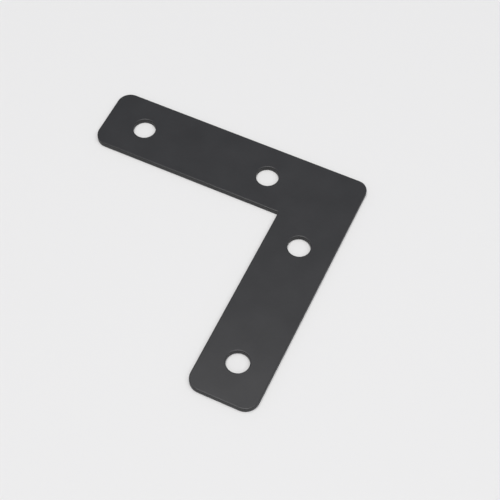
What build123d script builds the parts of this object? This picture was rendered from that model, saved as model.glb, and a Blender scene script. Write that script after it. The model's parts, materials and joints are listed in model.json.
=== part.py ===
from build123d import *
import os

# Flat L-shaped plate that joins two lengths of extrusion at a corner.
# It is blanked from one sheet, punched with two bolt holes in each arm, and coated.
# Millimetres, +Z up. The origin is on the underside, where the centre lines of the arms cross.

arm_length = 80.0  # from the outer edge of the other arm to the free end
arm_width = 20.0  # the width of one extrusion
plate_thickness = 1.6  # the sheet and its coat on both faces

end_corner_radius = 4.0  # both corners of each free end
elbow_radius = 3.25  # outer corner, where the arms meet
inner_corner_radius = 0.5  # corner of the notch between the arms

hole_diameter = 6.6  # clearance for an M6 bolt
hole_spacing = 40.0
end_margin = 12.0  # from the free end to the nearer hole

rolled_edge_radius = 0.25  # upper edges, drawn down by the press and filled out by the coat
broken_edge_radius = 0.1  # lower edges, where the burr has been taken off

half_width = arm_width / 2
arm_middle = arm_length / 2 - half_width
far_hole = arm_length - half_width - end_margin
near_hole = far_hole - hole_spacing
hole_centres = [(near_hole, 0), (far_hole, 0), (0, near_hole), (0, far_hole)]

# The line that the plate is symmetrical about, from the elbow out through the notch.
diagonal = Axis((0, 0, 0), (1, 1, 0))

with BuildPart() as joining_plate:
    with BuildSketch(Plane.XY) as outline:
        with Locations((arm_middle, 0)):
            Rectangle(arm_length, arm_width)
        with Locations((0, arm_middle)):
            Rectangle(arm_width, arm_length)
        # Along the diagonal come the elbow, the inner corner, and then the corners of the ends.
        fillet(outline.vertices().sort_by(diagonal)[2:], end_corner_radius)
        fillet(outline.vertices().sort_by(diagonal)[1], inner_corner_radius)
        fillet(outline.vertices().sort_by(diagonal)[0], elbow_radius)
    extrude(amount=plate_thickness)

    with Locations(*hole_centres):
        Hole(hole_diameter / 2)

    # The rounding runs round the whole outline and round the rim of every hole.
    fillet(joining_plate.faces().sort_by(Axis.Z)[-1].edges(), rolled_edge_radius)
    fillet(joining_plate.faces().sort_by(Axis.Z)[0].edges(), broken_edge_radius)

joining_plate.part.label = "joining_plate"

os.makedirs("parts", exist_ok=True)
export_step(joining_plate.part, "parts/joining_plate.step")
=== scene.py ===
import bpy
import bmesh
import json
from math import cos, radians, sin
from mathutils import Matrix, Vector


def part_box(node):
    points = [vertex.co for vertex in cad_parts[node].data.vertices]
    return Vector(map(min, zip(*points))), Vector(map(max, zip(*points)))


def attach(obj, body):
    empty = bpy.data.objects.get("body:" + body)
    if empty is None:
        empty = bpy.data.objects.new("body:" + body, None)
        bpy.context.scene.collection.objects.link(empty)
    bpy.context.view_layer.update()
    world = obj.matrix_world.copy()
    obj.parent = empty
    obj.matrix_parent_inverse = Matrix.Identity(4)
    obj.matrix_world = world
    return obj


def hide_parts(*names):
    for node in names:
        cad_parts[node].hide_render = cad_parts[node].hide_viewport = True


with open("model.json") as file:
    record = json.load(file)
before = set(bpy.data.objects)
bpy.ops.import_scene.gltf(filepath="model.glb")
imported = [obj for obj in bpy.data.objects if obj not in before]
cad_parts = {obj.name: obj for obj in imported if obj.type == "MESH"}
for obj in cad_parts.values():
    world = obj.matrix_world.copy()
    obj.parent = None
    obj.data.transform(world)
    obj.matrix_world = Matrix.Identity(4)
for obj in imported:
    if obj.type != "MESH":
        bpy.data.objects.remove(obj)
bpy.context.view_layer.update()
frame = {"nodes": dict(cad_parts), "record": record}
scene = bpy.context.scene
mm = 0.001
print("frame loaded:", ", ".join(frame["nodes"]))


# Shader arithmetic: an expression on wires adds its own Math nodes.
class Wire:
    def __init__(self, sheet, socket):
        self.sheet = sheet
        self.socket = socket

    def math(self, operation, first, second):
        return self.sheet.add("ShaderNodeMath", {"operation": operation}, {0: first, 1: second})

    def __add__(self, other):
        return self.math("ADD", self, other)

    def __sub__(self, other):
        return self.math("SUBTRACT", self, other)

    def __rsub__(self, other):
        return self.math("SUBTRACT", other, self)

    def __mul__(self, other):
        return self.math("MULTIPLY", self, other)

    __radd__ = __add__
    __rmul__ = __mul__


class Sheet:
    def __init__(self, owner):
        owner.use_nodes = True
        self.tree = owner.node_tree
        self.tree.nodes.clear()

    def add(self, kind, settings=None, sockets=None, out=0):
        node = self.tree.nodes.new(kind)
        for name, value in (settings or {}).items():
            setattr(node, name, value)
        for name, value in (sockets or {}).items():
            if isinstance(value, Wire):
                self.tree.links.new(value.socket, node.inputs[name])
            else:
                node.inputs[name].default_value = value
        return Wire(self, node.outputs[out]) if node.outputs else node

    def noise(self, place, size, detail):
        sockets = {"Vector": place, "Scale": 1 / size, "Detail": detail}
        return self.add("ShaderNodeTexNoise", {"noise_dimensions": "3D"}, sockets)

    def blend(self, share, first, second):
        settings = {"data_type": "RGBA", "blend_type": "MIX"}
        return self.add("ShaderNodeMix", settings, {0: share, 6: first, 7: second}, out=2)


plate = {
    "node": "joining_plate",
    "endRadius": 4.0 * mm,
    "elbowRadius": 3.25 * mm,
    "notchRadius": 0.5 * mm,
    "rolledEdge": 0.25 * mm,  # upper rims
    "brokenEdge": 0.1 * mm,  # lower rims
    "cornerSteps": 16,
    "holeSteps": 72,
    "rimSteps": 5,
    "sharpAngle": radians(60),  # edges that turn more than this are rims
    "flatTilt": 0.999,  # faces whose normal is this upright are the two flat ones
}

coat = {
    "slot": "black_coat",
    "colour": (0.0245, 0.0247, 0.0267, 1),
    "cloudColour": (0.0295, 0.0297, 0.0322, 1),
    # painted shade: the punched side walls get a darker coat colour that stands in for the shade
    # they lie in
    "paintedWallShade": (0.0125, 0.0127, 0.014, 1),
    "roughness": 0.34,
    "patchRoughness": 0.1,  # how far the blotches change the roughness
    "wallRoughness": 0.2,  # added on the punched walls
    "ior": 1.5,
    "cloudSize": 9 * mm,
    "cloudDetail": 2,
    "cloudWeight": 0.7,
    "fleckSize": 0.8 * mm,
    "fleckDetail": 3,
    "fleckWeight": 0.3,
    "patchLow": 0.3,
    "patchHigh": 0.7,
    "peelSize": 1.1 * mm,
    "peelDepth": 0.004 * mm,
    "grainSize": 0.25 * mm,
    "grainDepth": 0.0012 * mm,
    "reliefDetail": 2,
}


def coatMaterial():
    material = bpy.data.materials.new("blackCoat")
    sheet = Sheet(material)
    place = sheet.add("ShaderNodeTexCoord", out=3)
    normal = sheet.add("ShaderNodeTexCoord", out=1)
    upright = sheet.add("ShaderNodeSeparateXYZ", None, {0: normal}, out=2)
    flat = sheet.add("ShaderNodeMath", {"operation": "ABSOLUTE"}, {0: upright})
    wall = 1 - flat

    clouds = sheet.noise(place, coat["cloudSize"], coat["cloudDetail"])
    flecks = sheet.noise(place, coat["fleckSize"], coat["fleckDetail"])
    patch = clouds * coat["cloudWeight"] + flecks * coat["fleckWeight"]
    patchRange = {0: patch, 1: coat["patchLow"], 2: coat["patchHigh"]}
    cloudShare = sheet.add("ShaderNodeMapRange", None, patchRange)
    colour = sheet.blend(cloudShare, coat["colour"], coat["cloudColour"])
    # painted shade: the walls are blended towards a darker colour for the shade they face, on top
    # of their real extra roughness
    colour = sheet.blend(wall, colour, coat["paintedWallShade"])

    uneven = (patch - 0.5) * coat["patchRoughness"]  # the noise is centred on a half
    roughness = coat["roughness"] + uneven + wall * coat["wallRoughness"]

    peel = sheet.noise(place, coat["peelSize"], coat["reliefDetail"])
    grain = sheet.noise(place, coat["grainSize"], coat["reliefDetail"])
    height = peel * coat["peelDepth"] + grain * coat["grainDepth"]
    bump = sheet.add("ShaderNodeBump", None, {"Strength": 1.0, "Distance": 1.0, "Height": height})

    shader = sheet.add("ShaderNodeBsdfPrincipled", None, {
        "Base Color": colour,
        "Roughness": roughness,
        "Normal": bump,
        "IOR": coat["ior"],
    })
    sheet.add("ShaderNodeOutputMaterial", None, {"Surface": shader})
    return material


def buildPlate():
    low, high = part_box(plate["node"])
    half = -low.x  # the origin is on the centre lines of both arms
    bm = bmesh.new()

    corners = [(low.x, low.y), (high.x, low.y), (high.x, half),
               (half, half), (half, high.y), (low.x, high.y)]
    verts = [bm.verts.new((x, y, low.z)) for x, y in corners]
    bm.faces.new(verts)
    radii = [plate["elbowRadius"], plate["endRadius"], plate["endRadius"],
             plate["notchRadius"], plate["endRadius"], plate["endRadius"]]
    for vert, radius in zip(verts, radii):
        bmesh.ops.bevel(bm, geom=[vert], offset=radius, offset_type="OFFSET", affect="VERTICES",
                        segments=plate["cornerSteps"], profile=0.5, material=-1)
    bmesh.ops.delete(bm, geom=list(bm.faces), context="FACES_ONLY")

    for mount in frame["record"]["mounts"]:
        if mount["kind"] == "bore":
            x, y, _ = mount["pos_m"]
            bmesh.ops.create_circle(bm, cap_ends=False, segments=plate["holeSteps"],
                                    radius=mount["dims"]["r_mm"] * mm,
                                    matrix=Matrix.Translation((x, y, low.z)))
    bmesh.ops.triangle_fill(bm, edges=list(bm.edges), use_beauty=True, use_dissolve=False,
                            normal=(0, 0, 1))

    lifted = bmesh.ops.extrude_face_region(bm, geom=list(bm.faces))
    moved = [item for item in lifted["geom"] if isinstance(item, bmesh.types.BMVert)]
    bmesh.ops.translate(bm, verts=moved, vec=(0, 0, high.z - low.z))
    bmesh.ops.recalc_face_normals(bm, faces=list(bm.faces))

    middle = (low.z + high.z) / 2
    for side, radius in ((1, plate["rolledEdge"]), (-1, plate["brokenEdge"])):
        rim = [edge for edge in bm.edges
               if all((vert.co.z - middle) * side > 0 for vert in edge.verts)
               and edge.calc_face_angle(0) > plate["sharpAngle"]]
        bmesh.ops.bevel(bm, geom=rim, offset=radius, offset_type="OFFSET", affect="EDGES",
                        segments=plate["rimSteps"], profile=0.5, material=-1)

    for item in bm.faces:
        item.smooth = abs(item.normal.z) < plate["flatTilt"]
    mesh = bpy.data.meshes.new("coatedPlate")
    bm.to_mesh(mesh)
    bm.free()
    piece = bpy.data.objects.new("coatedPlate", mesh)
    scene.collection.objects.link(piece)
    mesh.materials.append(coatMaterial())
    shading = piece.modifiers.new("flatFaces", "WEIGHTED_NORMAL")
    shading.mode = "FACE_AREA"
    shading.weight = 100
    shading.keep_sharp = True
    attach(piece, "root")
    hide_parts(plate["node"])
    print("plate built:", len(mesh.polygons), "faces")


studio = {
    "floorSize": 6.0,
    "floorGap": 0.01 * mm,  # keeps the floor off the underside
    "floorColour": (0.83, 0.83, 0.83, 1),
    "roomColour": (0.93, 0.98, 1.07, 1),
    "roomStrength": 0.22,
    "keyPlace": (0.1, 0.1, 1.5),  # straight over the plate
    "keySize": (0.85, 0.75),
    "keyPower": 14.5,
    "keyColour": (1.0, 0.978, 0.955),
    "panelPlace": (-0.75, 0.765, 1.5),  # a wide, dim panel above the camera's side
    "panelSize": (1.65, 3.0),
    "panelPower": 14.0,
    "panelColour": (1.0, 1.0, 1.0),
}


def softbox(name, place, size, power, colour):
    light = bpy.data.lights.new(name, "AREA")
    light.shape = "RECTANGLE"
    light.size, light.size_y = size
    light.energy = power
    light.color = colour
    lamp = bpy.data.objects.new(name, light)
    scene.collection.objects.link(lamp)
    lamp.location = place
    lamp.visible_camera = False


def buildStudio():
    bm = bmesh.new()
    bmesh.ops.create_grid(bm, x_segments=1, y_segments=1, size=studio["floorSize"] / 2)
    mesh = bpy.data.meshes.new("floor")
    bm.to_mesh(mesh)
    bm.free()
    floor = bpy.data.objects.new("floor", mesh)
    scene.collection.objects.link(floor)
    floor.location.z = -studio["floorGap"]
    material = bpy.data.materials.new("paleFloor")
    sheet = Sheet(material)
    surface = sheet.add("ShaderNodeBsdfDiffuse", None, {"Color": studio["floorColour"]})
    sheet.add("ShaderNodeOutputMaterial", None, {"Surface": surface})
    mesh.materials.append(material)

    world = bpy.data.worlds.new("room")
    scene.world = world
    sheet = Sheet(world)
    seen = sheet.add("ShaderNodeLightPath", out="Is Camera Ray")
    strength = seen * (1 - studio["roomStrength"]) + studio["roomStrength"]
    room = sheet.add("ShaderNodeBackground", None,
                     {"Color": studio["roomColour"], "Strength": strength})
    sheet.add("ShaderNodeOutputWorld", None, {"Surface": room})

    for name in ("key", "panel"):
        softbox(name, studio[name + "Place"], studio[name + "Size"],
                studio[name + "Power"], studio[name + "Colour"])
    print("floor and lights set")


shot = {
    "aim": (0.01227, 0.02409, 0.0),
    "azimuth": 203.81,
    "elevation": 57.9,
    "roll": 1.465,
    "distance": 0.36306,
    "lens": 93.28,
    "sensor": 36,
}


def buildCamera():
    turn, rise = radians(shot["azimuth"]), radians(shot["elevation"])
    back = Vector((sin(turn) * cos(rise), -cos(turn) * cos(rise), sin(rise)))
    data = bpy.data.cameras.new("plateView")
    data.sensor_width = shot["sensor"]
    data.lens = shot["lens"]
    camera = bpy.data.objects.new("plateView", data)
    scene.collection.objects.link(camera)
    facing = (-back).to_track_quat("-Z", "Y").to_matrix().to_4x4()
    spin = Matrix.Rotation(radians(shot["roll"]), 4, "Z")
    place = Matrix.Translation(Vector(shot["aim"]) + back * shot["distance"])
    camera.matrix_world = place @ facing @ spin
    scene.camera = camera
    print("camera set")


buildPlate()
buildStudio()
buildCamera()
scene.view_settings.view_transform = "Standard"
